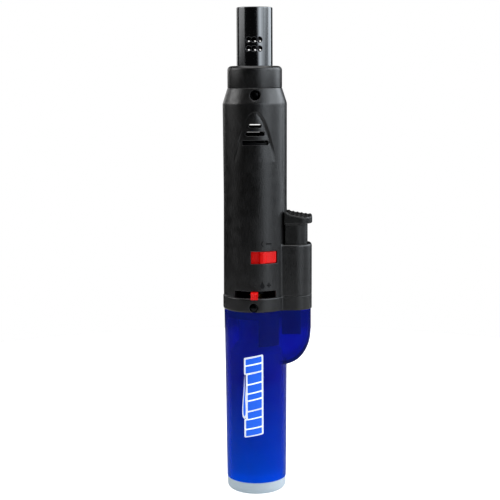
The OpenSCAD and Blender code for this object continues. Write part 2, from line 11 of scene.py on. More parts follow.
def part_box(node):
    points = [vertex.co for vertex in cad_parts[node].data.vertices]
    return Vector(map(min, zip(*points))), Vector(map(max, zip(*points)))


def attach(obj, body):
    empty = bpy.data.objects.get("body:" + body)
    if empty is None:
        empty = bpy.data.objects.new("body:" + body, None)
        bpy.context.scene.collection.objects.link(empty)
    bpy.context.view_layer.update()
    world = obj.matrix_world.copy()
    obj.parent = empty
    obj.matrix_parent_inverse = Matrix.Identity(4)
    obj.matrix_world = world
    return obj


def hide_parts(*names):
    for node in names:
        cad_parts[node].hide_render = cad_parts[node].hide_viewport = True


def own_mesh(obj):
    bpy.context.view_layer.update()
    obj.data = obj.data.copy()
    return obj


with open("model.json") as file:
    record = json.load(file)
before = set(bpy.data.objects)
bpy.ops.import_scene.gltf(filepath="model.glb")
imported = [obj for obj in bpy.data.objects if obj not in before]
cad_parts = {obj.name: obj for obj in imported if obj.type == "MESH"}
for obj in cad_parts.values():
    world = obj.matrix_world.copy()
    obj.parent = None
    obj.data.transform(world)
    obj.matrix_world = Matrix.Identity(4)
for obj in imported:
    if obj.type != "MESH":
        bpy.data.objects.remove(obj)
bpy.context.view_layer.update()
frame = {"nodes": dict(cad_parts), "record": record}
NODES = frame["nodes"]
MM = 0.001
TAU = 2 * math.pi


def low(node):
    """Lowest corner of a CAD node's box, in mm."""
    return np.array(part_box(node)[0]) / MM


def high(node):
    """Highest corner of a CAD node's box, in mm."""
    return np.array(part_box(node)[1]) / MM


# ---------------------------------------------------------------- dimensions, mm; outer ones from the frame
TOTAL_H = high("flame_tube")[2]
TUBE_R = high("flame_tube")[0]
TUBE_WALL = 0.5
CAP_R = high("nozzle_cap")[1]
CAP_Z1 = high("nozzle_cap")[2]
CAP_Z0 = high("main_housing")[2]
CONE_Z0 = CAP_Z0 - 6.4
HOUSING_Z0 = low("main_housing")[2]
HOUSING_R = high("main_housing")[1] - 0.2
HOUSING_IN_R = HOUSING_R - 1.2
NOSE_IN_R = 9.6
POD_REACH = high("main_housing")[0]
POD_HALF_W = 8.25
POD_CORNER = 7.2
POD_WALL = 1.15
POD_RIM_Z = 106.0
COLLAR_Z0, COLLAR_Z1 = low("collar_ring")[2], high("collar_ring")[2]
COLLAR_R = high("collar_ring")[1]
FOOT_R = high("fuel_tank")[0]
FOOT_H = low("tank_sleeve")[2]
SLEEVE_TOP_R = high("tank_sleeve")[1]
SLEEVE_WALL = 1.3
BUTTON_REACH = high("thumb_button")[0]
BUTTON_IN_R = HOUSING_R + 0.75
BUTTON_STEM_X = 21.8
BUTTON_STEM_HALF_W = 7.0
BUTTON_CORNER = 5.2
BUTTON_WALL = 1.1
IGNITER_X = 16.05
HEAD_HALF_W = high("thumb_button")[1]
SCREW_Z = 80.45
SCREW_ANGLE = -4.0
NOSE_HOLE_Z = CAP_Z0 - 3.1
LOCK_WINDOW = (-9.0, 41.6)
LOCK_Z = (98.7, 103.8)
LEVER_SLOT = (-41.0, 37.6)
LEVER_TOP_Z = 87.3
# Air slots: bottom, top, width, and how much higher the back one starts
VENTS = ((154.4, 155.85, 5.0, 0.3), (151.05, 152.7, 7.6, 0.68), (147.35, 149.15, 10.8, 0.5))
TUBE_SEAT_R = TUBE_R - 0.2


# ---------------------------------------------------------------- distance fields
def smax(a, b, k):
    """Larger of two fields, with the corner between them rounded over about k."""
    h = np.clip(0.5 + 0.5 * (a - b) / k, 0, 1)
    return b * (1 - h) + a * h + k * h * (1 - h)


def smin(a, b, k):
    return -smax(-a, -b, k)


def between(v, lo, hi):
    return np.maximum(lo - v, v - hi)


def round_rect(x, y, half_x, half_y, r):
    """Distance to a rectangle about the origin with corners of radius r."""
    qx, qy = np.abs(x) - half_x + r, np.abs(y) - half_y + r
    outside = np.hypot(np.maximum(qx, 0), np.maximum(qy, 0))
    return outside + np.minimum(np.maximum(qx, qy), 0) - r


def pod_plan(x, y, reach, half_w, corner, inner=-4.0):
    """Distance to the plan of the pod, which starts at x = inner."""
    half = (reach - inner) / 2
    return round_rect(x - inner - half, y, half, half_w, corner)


def pod_shape(x, y, inset=0.0, inner=-4.0):
    """Distance to the pod's own plan, taken in by inset."""
    return pod_plan(x, y, POD_REACH - inset, POD_HALF_W - inset, POD_CORNER - inset, inner)


def angle_from_front(x, y):
    """Degrees round the main axis from the front (-Y), positive towards the pod (+X)."""
    return np.degrees(np.arctan2(x, -y))


def arc_span(x, y, r, span):
    """Distance along the arc of radius r to a span of angles from the front."""
    mid, half = (span[0] + span[1]) / 2, (span[1] - span[0]) / 2
    return np.radians(np.abs(angle_from_front(x, y) - mid) - half) * r


def radial_frame(x, y, angle):
    """Distances across and along a radius that points outwards at an angle from the front."""
    a = math.radians(angle)
    return x * math.cos(a) + y * math.sin(a), x * math.sin(a) - y * math.cos(a)


# ---------------------------------------------------------------- meshes from fields
def surface_net(field, grid, wrap=False):
    """Quads on a field's zero level. grid is (n0, n1, n2, 3) of points; its middle axis may wrap."""
    if wrap:
        grid = np.concatenate([grid, grid[:, :1]], axis=1)
    value = field(grid[..., 0], grid[..., 1], grid[..., 2])
    inside = value < 0
    corners = [(a, b, c) for a in (0, 1) for b in (0, 1) for c in (0, 1)]
    cells = [n - 1 for n in value.shape]
    count = sum(inside[a:a + cells[0], b:b + cells[1], c:c + cells[2]].astype(np.int8) for a, b, c in corners)
    active = (count > 0) & (count < 8)
    ids = np.full(active.shape, -1, np.int64)
    ids[active] = np.arange(active.sum())
    at = np.stack(np.nonzero(active), axis=1)
    total = np.zeros((len(at), 3))
    hits = np.zeros(len(at))
    for a, b, c in corners:
        for axis in range(3):
            step = [0, 0, 0]
            step[axis] = 1
            if (a, b, c)[axis]:
                continue
            p = tuple((at + (a, b, c)).T)
            q = tuple((at + (a, b, c) + step).T)
            f0, f1 = value[p], value[q]
            cross = (f0 < 0) != (f1 < 0)
            t = np.where(cross, f0 / np.where(cross, f0 - f1, 1), 0)[:, None]
            total += np.where(cross[:, None], grid[p] * (1 - t) + grid[q] * t, 0)
            hits += cross
    verts = total / hits[:, None]
    quads = []
    for axis in range(3):
        u, v = (axis + 1) % 3, (axis + 2) % 3
        ranges = [np.arange(n) for n in cells]
        for other in (u, v):
            if not (wrap and other == 1):
                ranges[other] = np.arange(1, cells[other])
        i, j, k = np.meshgrid(*ranges, indexing="ij")
        low_end = np.stack([i.ravel(), j.ravel(), k.ravel()])
        high_end = low_end.copy()
        high_end[axis] += 1
        f0, f1 = inside[tuple(low_end)], inside[tuple(high_end)]
        edge = f0 != f1
        low_end, f0 = low_end[:, edge], f0[edge]
        ring = []
        for du, dv in ((1, 1), (0, 1), (0, 0), (1, 0)):
            cell = low_end.copy()
            cell[u] -= du
            cell[v] -= dv
            if wrap:
                cell[1] %= cells[1]
            ring.append(ids[tuple(cell)])
        ring = np.stack(ring, axis=1)
        quads.append(np.where(f0[:, None], ring, ring[:, ::-1]))
    return verts, np.concatenate(quads)


def gradient(field, p, h=0.01):
    g = np.empty_like(p)
    for axis in range(3):
        step = np.zeros(3)
        step[axis] = h
        ahead, behind = p + step, p - step
        g[:, axis] = (field(*ahead.T) - field(*behind.T)) / (2 * h)
    return g


def settle(field, p, reach):
    """Moves points onto the zero level, each step no longer than reach, and gives the normals there."""
    for _ in range(4):
        g = gradient(field, p)
        step = g * (field(*p.T) / np.maximum((g * g).sum(1), 1e-6))[:, None]
        size = np.linalg.norm(step, axis=1, keepdims=True)
        p = p - step * np.minimum(1, reach / np.maximum(size, 1e-9))
    g = gradient(field, p)
    return p, g / np.maximum(np.linalg.norm(g, axis=1, keepdims=True), 1e-9)


def link_object(name, data):
    obj = bpy.data.objects.new(name, data)
    bpy.context.scene.collection.objects.link(obj)
    return obj


def object_from(bm, name):
    """Object from a finished bmesh, which is freed."""
    mesh = bpy.data.meshes.new(name)
    bm.to_mesh(mesh)
    bm.free()
    return link_object(name, mesh)


def quad_mesh(name, verts, quads, normals=None):
    """Blender object from arrays of points in mm and quads."""
    mesh = bpy.data.meshes.new(name)
    mesh.vertices.add(len(verts))
    mesh.vertices.foreach_set("co", (verts * MM).astype(np.float32).ravel())
    mesh.loops.add(quads.size)
    mesh.loops.foreach_set("vertex_index", quads.astype(np.int32).ravel())
    mesh.polygons.add(len(quads))
    mesh.polygons.foreach_set("loop_start", np.arange(0, quads.size, 4, dtype=np.int32))
    mesh.update(calc_edges=True)
    mesh.polygons.foreach_set("use_smooth", np.ones(len(quads), bool))
    if normals is not None:
        mesh.normals_split_custom_set_from_vertices(normals.astype(np.float32))
    return link_object(name, mesh)


def field_mesh(name, field, grid, reach, wrap=False):
    """Object on a field's zero level, with the field's own normals."""
    verts, quads = surface_net(field, grid, wrap)
    verts, normals = settle(field, verts, reach)
    a, b, c = (verts[quads[:, i]] for i in range(3))
    facing = (np.cross(b - a, c - a) * normals[quads[:, 0]]).sum()
    if facing < 0:
        quads = quads[:, ::-1]
    return quad_mesh(name, verts, quads, normals)


def steps(*runs):
    """Grid values from runs of (start, end, spacing), each starting where the last one ended."""
    values = [runs[0][0]]
    for start, end, spacing in runs:
        n = max(1, round((end - start) / spacing))
        values += [start + (end - start) * (i + 1) / n for i in range(n)]
    return np.array(values)


def box_grid(xs, ys, zs):
    return np.stack(np.meshgrid(xs, ys, zs, indexing="ij"), axis=-1)


def round_grid(rs, turns, zs):
    """Cylindrical grid about the main axis: radius, angle (wrapping), height."""
    r, a, z = np.meshgrid(rs, np.arange(turns) * TAU / turns, zs, indexing="ij")
    return np.stack([r * np.cos(a), r * np.sin(a), z], axis=-1)


# ---------------------------------------------------------------- other mesh helpers
def arc(cx, cz, r, a0, a1, n=6):
    """Points of an arc in a profile, angles in degrees."""
    angles = [math.radians(a0 + (a1 - a0) * i / n) for i in range(n + 1)]
    return [(cx + r * math.cos(a), cz + r * math.sin(a)) for a in angles]


def lathe(name, profile, turns):
    """Closed solid of revolution about the main axis, from a loop of (radius, z) points in mm."""
    n = len(profile)
    a = np.arange(turns) * TAU / turns
    r = np.array([p[0] for p in profile])
    z = np.array([p[1] for p in profile])
    columns = [np.outer(np.cos(a), r), np.outer(np.sin(a), r), np.broadcast_to(z, (turns, n))]
    verts = np.stack(columns, axis=-1).reshape(-1, 3)
    i, j = np.meshgrid(np.arange(turns), np.arange(n), indexing="ij")
    i2, j2 = (i + 1) % turns, (j + 1) % n
    quads = np.stack([i * n + j, i2 * n + j, i2 * n + j2, i * n + j2], axis=-1).reshape(-1, 4)
    area = sum(p[0] * q[1] - q[0] * p[1] for p, q in zip(profile, profile[1:] + profile[:1]))
    obj = quad_mesh(name, verts, quads if area > 0 else quads[:, ::-1])
    weld_and_sharpen(obj)
    return obj


def weld_and_sharpen(obj, angle=32):
    """Merges points that coincide, closes the shading and marks the sharp edges."""
    bm = bmesh.new()
    bm.from_mesh(obj.data)
    bmesh.ops.remove_doubles(bm, verts=bm.verts, dist=1e-7)
    bmesh.ops.recalc_face_normals(bm, faces=bm.faces)
    for face in bm.faces:
        face.smooth = True
    bm.to_mesh(obj.data)
    bm.free()
    obj.data.set_sharp_from_angle(angle=math.radians(angle))


def sweep(name, route, radius, sides):
    """Round tube along a route of points in mm, its ends closed."""
    route = np.asarray(route, float)
    tangent = np.gradient(route, axis=0)
    tangent /= np.linalg.norm(tangent, axis=1, keepdims=True)
    side = np.cross(tangent[0], (0.0, 1.0, 0.3))
    side /= np.linalg.norm(side)
    a = np.arange(sides) * TAU / sides
    rings = []
    for p, t in zip(route, tangent):
        side = side - t * side.dot(t)
        side /= np.linalg.norm(side)
        up = np.cross(t, side)
        rings.append(p + radius * (np.outer(np.cos(a), side) + np.outer(np.sin(a), up)))
    bm = bmesh.new()
    rows = [[bm.verts.new(Vector(v) * MM) for v in ring] for ring in rings]
    for low_row, high_row in zip(rows, rows[1:]):
        for j in range(sides):
            k = (j + 1) % sides
            bm.faces.new((low_row[j], low_row[k], high_row[k], high_row[j]))
    bm.faces.new(rows[0][::-1])
    bm.faces.new(rows[-1])
    obj = object_from(bm, name)
    weld_and_sharpen(obj, 50)
    return obj


def smooth_route(points, n):
    """Catmull-Rom curve through given points, as about n points at even parameter steps."""
    p = np.array([points[0]] + list(points) + [points[-1]], float)
    out = []
    for i in range(1, len(p) - 2):
        for t in np.linspace(0, 1, max(2, n // len(points)), endpoint=False):
            a, b, c, d = p[i - 1], p[i], p[i + 1], p[i + 2]
            out.append(0.5 * (2 * b + (c - a) * t + (2 * a - 5 * b + 4 * c - d) * t ** 2
                              + (3 * b - a - 3 * c + d) * t ** 3))
    return np.array(out + [p[-1]])


def wrapped(name, outlines, radius_at, lift, thick, angle):
    """Thin plates lying on a round surface. Outlines are lists of (arc length, z) about an angle.

    They are cut into narrow upright slices first, so that they follow the surface."""
    slice_w = 0.35
    bm = bmesh.new()
    for outline in outlines:
        bm.faces.new([bm.verts.new((s, z, 0)) for s, z in outline])
    bm.normal_update()
    bmesh.ops.triangulate(bm, faces=bm.faces)
    reach = max(abs(v.co.x) for v in bm.verts)
    n = int(reach / slice_w) + 1
    for i in range(-n, n + 1):
        bmesh.ops.bisect_plane(bm, geom=bm.verts[:] + bm.edges[:] + bm.faces[:], dist=1e-6,
                               plane_co=(i * slice_w, 0, 0), plane_no=(1, 0, 0))
    solid = bmesh.ops.extrude_face_region(bm, geom=bm.faces[:])
    for v in solid["geom"]:
        if isinstance(v, bmesh.types.BMVert):
            v.co.z = thick
    for v in bm.verts:
        r = radius_at(v.co.y) + lift + v.co.z
        a = math.radians(angle) + v.co.x / radius_at(v.co.y)
        v.co = Vector((r * math.sin(a), -r * math.cos(a), v.co.y)) * MM
    bmesh.ops.recalc_face_normals(bm, faces=bm.faces)
    obj = object_from(bm, name)
    weld_and_sharpen(obj, 40)
    return obj


# ---------------------------------------------------------------- materials
def new_material(name):
    mat = bpy.data.materials.new(name)
    mat.use_nodes = True
    tree = mat.node_tree
    return mat, tree, tree.nodes["Principled BSDF"]


def object_coords(tree, stretch=(1, 1, 1)):
    coords = tree.nodes.new("ShaderNodeTexCoord")
    mapping = tree.nodes.new("ShaderNodeMapping")
    mapping.inputs["Scale"].default_value = stretch
    tree.links.new(coords.outputs["Object"], mapping.inputs["Vector"])
    return mapping.outputs["Vector"]


def noise(tree, vector, scale, detail):
    node = tree.nodes.new("ShaderNodeTexNoise")
    node.inputs["Scale"].default_value = scale
    node.inputs["Detail"].default_value = detail
    node.inputs["Roughness"].default_value = 0.55
    tree.links.new(vector, node.inputs["Vector"])
    return node.outputs["Fac"]


def remap(tree, value, lo, hi, new_lo, new_hi):
    """The value carried from one range to another and kept inside it."""
    node = tree.nodes.new("ShaderNodeMapRange")
    for key, number in (("From Min", lo), ("From Max", hi), ("To Min", new_lo), ("To Max", new_hi)):
        node.inputs[key].default_value = number
    tree.links.new(value, node.inputs["Value"])
    return node.outputs["Result"]


def blend_colours(tree, factor, first, second):
    ramp = tree.nodes.new("ShaderNodeValToRGB")
    ramp.color_ramp.elements[0].color = (*first, 1)
    ramp.color_ramp.elements[1].color = (*second, 1)
    tree.links.new(factor, ramp.inputs["Fac"])
    return ramp.outputs["Color"]


def bump(tree, height, distance):
    """Surface relief from a height of 0 to 1; distance in m."""
    node = tree.nodes.new("ShaderNodeBump")
    node.inputs["Strength"].default_value = 1.0
    node.inputs["Distance"].default_value = distance
    tree.links.new(height, node.inputs["Height"])
    return node.outputs["Normal"]


# Emission on a part that is no lamp: painted light.
def set_glow(shader, colour, strength):
    shader.inputs["Emission Color"].default_value = (*colour, 1)
    shader.inputs["Emission Strength"].default_value = strength


def vary(tree, shader, tone, dark, light, patch, rough, rough_var):
    """Base colour from dark to light by tone, and roughness within rough_var of rough by patch."""
    tree.links.new(blend_colours(tree, tone, dark, light), shader.inputs["Base Color"])
    spread = remap(tree, patch, 0.3, 0.7, rough - rough_var, rough + rough_var)
    tree.links.new(spread, shader.inputs["Roughness"])


def moulded_plastic(name, dark, light, rough, grain_scale=2600, grain=0.00003, specular=0.5, glow=0.0):
    """Matt moulding: fine spark-eroded grain, slow tone changes and slightly worn roughness. A glow, when
    given, is painted light in its light colour.
    """
    mat, tree, shader = new_material(name)
    where = object_coords(tree)
    tone = remap(tree, noise(tree, where, 90, 4), 0.3, 0.7, 0, 1)
    vary(tree, shader, tone, dark, light, noise(tree, where, 260, 5), rough, 0.06)
    tree.links.new(bump(tree, noise(tree, where, grain_scale, 2), grain), shader.inputs["Normal"])
    shader.inputs["Specular IOR Level"].default_value = specular
    # painted light: with glow the moulding shines in its light colour though it is no lamp
    if glow:
        set_glow(shader, light, glow)
    return mat


def metal(name, dark, light, rough, stretch=(1, 1, 1), scale=900, rough_var=0.05, grain=0.000005):
    """Metal with tool or polish marks; stretch squeezes the noise into lines."""
    mat, tree, shader = new_material(name)
    shader.inputs["Metallic"].default_value = 1.0
    lines = noise(tree, object_coords(tree, stretch), scale, 4)
    vary(tree, shader, remap(tree, lines, 0.3, 0.7, 0, 1), dark, light, lines, rough, rough_var)
    tree.links.new(bump(tree, lines, grain), shader.inputs["Normal"])
    return mat


def see_through(name, dark, light, rough, weight, ior=1.45, rise=None, glow=None, depth=None):
    """Frosted translucent plastic, with weight as its share of transmission.

    With rise, a pair of heights in mm, its tone goes from light at the first to dark at the second, as
    painted light low down and painted shade higher up.
    glow is the pair of colours, for dark and light, of a painted glow that stands for light scattered inside
    the wall.
    depth is the colour and the density of what the wall takes from light that passes through it."""
    mat, tree, shader = new_material(name)
    where = object_coords(tree)
    tone = remap(tree, noise(tree, where, 120, 3), 0.3, 0.7, 0, 1)
    # painted light and shade: the tone, which sets colour and glow, is lighter low down and darker higher up
    if rise:
        split = tree.nodes.new("ShaderNodeSeparateXYZ")
        tree.links.new(where, split.inputs["Vector"])
        height = remap(tree, split.outputs["Z"], rise[1] * MM, rise[0] * MM, 0, 0.9)
        mix = tree.nodes.new("ShaderNodeMath")
        mix.operation = "MULTIPLY_ADD"
        mix.inputs[1].default_value = 0.1
        tree.links.new(tone, mix.inputs[0])
        tree.links.new(height, mix.inputs[2])
        tone = mix.outputs["Value"]
    vary(tree, shader, tone, dark, light, noise(tree, where, 300, 4), rough, 0.04)
    tree.links.new(bump(tree, noise(tree, where, 2200, 2), 0.00002), shader.inputs["Normal"])
    shader.inputs["Transmission Weight"].default_value = weight
    shader.inputs["IOR"].default_value = ior
    # painted light: the wall shines by tone though it is no lamp
    if glow:
        tree.links.new(blend_colours(tree, tone, *glow), shader.inputs["Emission Color"])
        shader.inputs["Emission Strength"].default_value = 1.0
    if depth:
        absorb = tree.nodes.new("ShaderNodeVolumeAbsorption")
        absorb.inputs["Color"].default_value = (*depth[0], 1)
        absorb.inputs["Density"].default_value = depth[1]
        out = next(node for node in tree.nodes if node.type == "OUTPUT_MATERIAL")
        tree.links.new(absorb.outputs["Volume"], out.inputs["Volume"])
    return mat


def glowing_printed_ink(name, colour):
    """Screen-printed ink with a slight mottle; it glows in its own colour, painted light that makes it bright
    enough to read against the sleeve.
    """
    mat, tree, shader = new_material(name)
    spots = noise(tree, object_coords(tree), 700, 3)
    shade = tuple(c * 0.9 for c in colour)
    vary(tree, shader, remap(tree, spots, 0.35, 0.65, 0, 1), shade, colour, spots, 0.4, 0.05)
    # painted light: the ink shines in its own colour though it is no lamp
    set_glow(shader, colour, 0.55)
    return mat


# Keys are the record's material slots
MATERIALS = {
    "housing_plastic": moulded_plastic("housing_black", (0.0018, 0.0016, 0.0015), (0.004, 0.0038, 0.0038),
                                       0.34, 2100, 0.00008, 0.85),
    "button_plastic": moulded_plastic("button_black", (0.003, 0.003, 0.0025), (0.005, 0.005, 0.0045), 0.42,
                                      2600, 0.00002),
    "inner_plastic": moulded_plastic("inner_black", (0.004, 0.004, 0.005), (0.008, 0.008, 0.009), 0.5,
                                     2600, 0.00003, 0.25),
    # The red moulding glows a little (0.16): painted light that makes the lock and lever read brighter.
    "red_plastic": moulded_plastic("red_moulding", (0.8, 0.001, 0.001), (0.95, 0.003, 0.002), 0.36,
                                   1800, 0.000015, 0.5, 0.16),
    "pale_plastic": moulded_plastic("natural_nylon", (0.55, 0.53, 0.47), (0.66, 0.64, 0.58), 0.4),
    "wire_insulation": moulded_plastic("silicone_black", (0.012, 0.012, 0.012), (0.03, 0.03, 0.03), 0.4),
    "seal_rubber": moulded_plastic("seal_black", (0.012, 0.012, 0.012), (0.022, 0.022, 0.022), 0.6),
    "white_ceramic": moulded_plastic("fired_ceramic", (0.7, 0.69, 0.64), (0.8, 0.79, 0.75), 0.35,
                                     1500, 0.00002),
    # The sleeve is painted lighter and glowing towards the foot and darker up under the collar: painted light
    # and shade.
    "blue_translucent": see_through("blue_frosted", (0.02, 0.03, 0.75), (0.0, 0.12, 1.0), 0.12, 0.93, 1.12,
                                    rise=(4, 50), glow=((0.003, 0.004, 0.031), (0.0, 0.030, 0.125)),
                                    depth=((0.3, 0.3, 0.6), 450)),
    # The tank is lighter and glows faintly below about 7 mm, at its foot: painted light.
    "clear_plastic": see_through("clear_frosted", (0.74, 0.80, 0.86), (0.84, 0.90, 0.96), 0.35, 0.45,
                                 rise=(7, 9), glow=((0, 0, 0), (0.07, 0.09, 0.09))),
    "hose_plastic": see_through("milky_hose", (0.6, 0.6, 0.55), (0.7, 0.7, 0.66), 0.3, 0.4),
    "black_chrome": metal("black_chrome", (0.18, 0.185, 0.19), (0.21, 0.215, 0.22), 0.15,
                          (1, 1, 0.05), 500, 0.03),
    "valve_brass": metal("turned_brass", (0.16, 0.11, 0.04), (0.24, 0.17, 0.07), 0.3, (0.2, 0.2, 4)),
    "small_steel": metal("bright_steel", (0.45, 0.45, 0.46), (0.6, 0.6, 0.61), 0.26, scale=1200),
    # Screw steel darkened nearly to black so that the holes the screws sit in read dark: painted shade.
    "screw_steel": metal("screw_steel_painted_shade", (0.01, 0.01, 0.011), (0.03, 0.03, 0.031), 0.22, scale=1500),
    "cast_metal": metal("die_cast", (0.42, 0.43, 0.44), (0.56, 0.57, 0.58), 0.42,
                        (1, 1, 1), 700, 0.08, 0.00002),
}
SLOTS = {row["node"]: row["material_slot"] for row in frame["record"]["subparts"]}


def dress(obj, material):
    obj.data.materials.clear()
    obj.data.materials.append(material)


def place(obj, node, body="torch_body"):
    """The piece stands for a CAD node, on its body and with its slot's material."""
    dress(obj, MATERIALS[SLOTS[node]])
    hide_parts(node)
    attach(obj, body)
    return obj


def trim(obj, slot, body="torch_body", material=None):
    """A piece that stands for no CAD node, such as a print."""
    dress(obj, material or MATERIALS[slot])
    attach(obj, body)


for node_name, node_object in NODES.items():
    dress(node_object, MATERIALS[SLOTS[node_name]])


# ---------------------------------------------------------------- main housing
def housing_radius(z):
    heights = (HOUSING_Z0, 125, CONE_Z0, CAP_Z0)
    return np.interp(z, heights, (HOUSING_R + 0.3, HOUSING_R, HOUSING_R + 0.14, CAP_R))


ARCH_TOP, ARCH_FOOT, ARCH_FOOT_X = 160.8, 140.5, 8.7
ARCH_POWER = 0.46
ARCH_FADE = 11


def dying(inside, start, length):
    """1 up to start inside the arch, then dying away over length."""
    return np.exp(-np.clip(inside - start, 0, 9) / length)


def panel_depth(x, z):
    """How far the air inlet's arched panel and the groove round it lie below the housing.

    Both fade at the foot. The groove's left and right strokes differ."""
    down = np.clip((ARCH_TOP - z) / (ARCH_TOP - ARCH_FOOT), 1e-3, 1.5)
    half = ARCH_FOOT_X * down ** ARCH_POWER
    slope = np.clip(ARCH_POWER * half / (down * (ARCH_TOP - ARCH_FOOT)), 0, 4)
    inside = np.minimum((half - np.abs(x)) / np.sqrt(1 + slope ** 2), ARCH_TOP - z)
    fade = np.clip((z - ARCH_FOOT) / ARCH_FADE, 0, 1) ** 0.8
    side = np.clip((x + 0.5) / 4.5, 0, 1)
    upper_left = (1 - side) * np.clip((z - 149) / 5, 0, 1)
    flat = 0.25 * np.clip((inside + 0.1) / 0.5, 0, 1)
    left = 0.2 * (1 - side) * np.clip((inside + 0.1) / 0.35, 0, 1) * dying(inside, 0.25, 0.9)
    right = 0.6 * np.clip((x - 0.2) / 3.6, 0, 1) * np.clip(inside / 1.1, 0, 1) * dying(inside, 1.1, 1.1)
    return fade * ((flat + left) * (1 - 0.8 * upper_left) + right)


def housing_field(x, y, z):
    r = np.hypot(x, y)
    body = r - np.interp(z, (HOUSING_Z0, 125, CONE_Z0 + 30), (HOUSING_R + 0.3, HOUSING_R, HOUSING_R + 0.25))
    cone_slope = (HOUSING_R + 0.14 - CAP_R) / (CAP_Z0 - CONE_Z0)
    cone = (r - CAP_R - (CAP_Z0 - z) * cone_slope) / math.hypot(1, cone_slope)
    body = smax(body, cone, 0.14)
    body = body + panel_depth(x, z)
    pod = smax(pod_shape(x, y), z - POD_RIM_Z, 1.1)
    outer = smin(body, pod, 0.5)
    cavity = r - np.interp(z, (CONE_Z0 - 3.5, CONE_Z0 + 2), (HOUSING_IN_R, NOSE_IN_R))
    pod_cavity = np.maximum(pod_shape(x, y, POD_WALL, 4.0), np.where(z > 101, HOUSING_R + 0.1 - r, -9))
    shell = smax(outer, -np.minimum(cavity, pod_cavity), 0.25)
    shell = smax(shell, between(z, HOUSING_Z0, CAP_Z0), 0.3)
    for z0, z1, width, back_lift in VENTS:
        bottom = z0 + back_lift * (y > 0)
        slot = round_rect(x, z - (bottom + z1) / 2, width / 2, (z1 - bottom) / 2, 0.6)
        shell = smax(shell, -np.maximum(slot, 4 - np.abs(y)), 0.15)
    window = np.maximum(arc_span(x, y, HOUSING_R, LOCK_WINDOW), between(z, *LOCK_Z))
    shell = smax(shell, -np.maximum(window, 9 - r), 0.25)
    slot = np.maximum(arc_span(x, y, HOUSING_R, LEVER_SLOT), z - LEVER_TOP_Z)
    shell = smax(shell, -np.maximum(slot, 9 - r), 0.25)
    nose_hole = np.maximum(np.hypot(x, z - NOSE_HOLE_Z) - 2.1, y + 4)
    return smax(shell, -nose_hole, 0.3)


def make_housing():
    rs = steps((9.2, 11.6, 0.6), (11.6, 13.8, 0.22), (13.8, 21.6, 0.6), (21.6, 24.0, 0.3))
    zs = steps((HOUSING_Z0 - 0.6, 88.4, 0.28), (88.4, 98.0, 0.8), (98.0, 107.4, 0.28), (107.4, 138, 1.0),
               (138, 158, 0.32), (158, CAP_Z0 + 0.6, 0.35))
    obj = field_mesh("upper_housing", housing_field, round_grid(rs, 256, zs), 0.25, wrap=True)
    return place(obj, "main_housing")


# ---------------------------------------------------------------- nozzle cap and flame tube
def make_nozzle_cap():
    bore, spigot, edge = TUBE_SEAT_R + 0.05, NOSE_IN_R - 0.05, 1.7
    profile = [(bore, CAP_Z0 - 4.4), (spigot, CAP_Z0 - 4.4), (spigot, CAP_Z0)]
    profile += [(CAP_R - 0.2, CAP_Z0)] + arc(CAP_R - 0.12, CAP_Z0 + 0.12, 0.12, -90, 0, 4)
    profile += arc(CAP_R - edge, CAP_Z1 - edge, edge, 0, 90, 10)
    profile += [(bore + 0.3, CAP_Z1), (bore, CAP_Z1 - 0.3)]
    return place(lathe("nozzle_collar", profile, 192), "nozzle_cap")


HOLE_ROWS = (TOTAL_H - 16.85, TOTAL_H - 13.3)
HOLE_ANGLES = (-20, -2, 16)
HOLE_R = 1.15


def flame_tube_field(x, y, z):
    r = np.hypot(x, y)
    outer_r = np.where(z < CAP_Z1 + 0.3, TUBE_SEAT_R, TUBE_R)
    tube = smax(r - outer_r, TUBE_R - TUBE_WALL - r, 0.12)
    tube = smax(tube, between(z, low("flame_tube")[2], TOTAL_H), 0.45)
    turn = angle_from_front(x, -np.abs(y))
    for row in HOLE_ROWS:
        for hole in HOLE_ANGLES:
            across = np.radians(turn * np.where(y < 0, 1, -1) - hole) * TUBE_R
            tube = smax(tube, HOLE_R - np.hypot(across, z - row), 0.16)
    return tube


def make_flame_tube():
    holes_z0, holes_z1 = HOLE_ROWS[0] - 1.8, HOLE_ROWS[1] + 1.8
    zs = steps((165.8, 167, 0.3), (167, holes_z0, 1.2), (holes_z0, holes_z1, 0.16),
               (holes_z1, TOTAL_H - 1, 1.2), (TOTAL_H - 1, TOTAL_H + 0.3, 0.12))
    rs = steps((TUBE_R - 0.9, TUBE_R + 0.3, 0.1))
    obj = field_mesh("flame_tube_polished", flame_tube_field, round_grid(rs, 288, zs), 0.12, wrap=True)
    return place(obj, "flame_tube")


# ---------------------------------------------------------------- collar, sleeve and tank
def collar_field(x, y, z):
    r = np.hypot(x, y)
    band = smax(r - COLLAR_R, between(z, COLLAR_Z0, COLLAR_Z1), 0.8)
    pod = smax(pod_shape(x, y), between(z, COLLAR_Z0, COLLAR_Z1), 0.25)
    outer = smin(band, pod, 0.4)
    ring = smax(outer, -np.minimum(r - HOUSING_IN_R, pod_shape(x, y, POD_WALL)), 0.2)
    across, depth = radial_frame(x, y, SCREW_ANGLE)
    recess = np.maximum(np.hypot(across, z - SCREW_Z) - 1.9, 12.6 - depth)
    hole = np.maximum(np.hypot(across, z - SCREW_Z) - 1.0, 4 - depth)
    return smax(ring, -np.minimum(recess, hole), 0.2)


def make_collar():
    rs = steps((11.4, 14.2, 0.2), (14.2, 21.8, 0.6), (21.8, 24.0, 0.25))
    zs = steps((COLLAR_Z0 - 0.4, COLLAR_Z1 + 0.4, 0.2))
    obj = field_mesh("collar_band", collar_field, round_grid(rs, 288, zs), 0.2, wrap=True)
    return place(obj, "collar_ring")


SLEEVE_DROP = ((FOOT_H, 19, 37, 52, COLLAR_Z0), (-0.65, -0.48, -0.38, -0.25, 0.0))
BULGE_CENTRE, BULGE_AXES = (10.5, 70.2), (12.95, 15.0)


def sleeve_radius(z):
    return SLEEVE_TOP_R + 0.15 + np.interp(z, *SLEEVE_DROP)


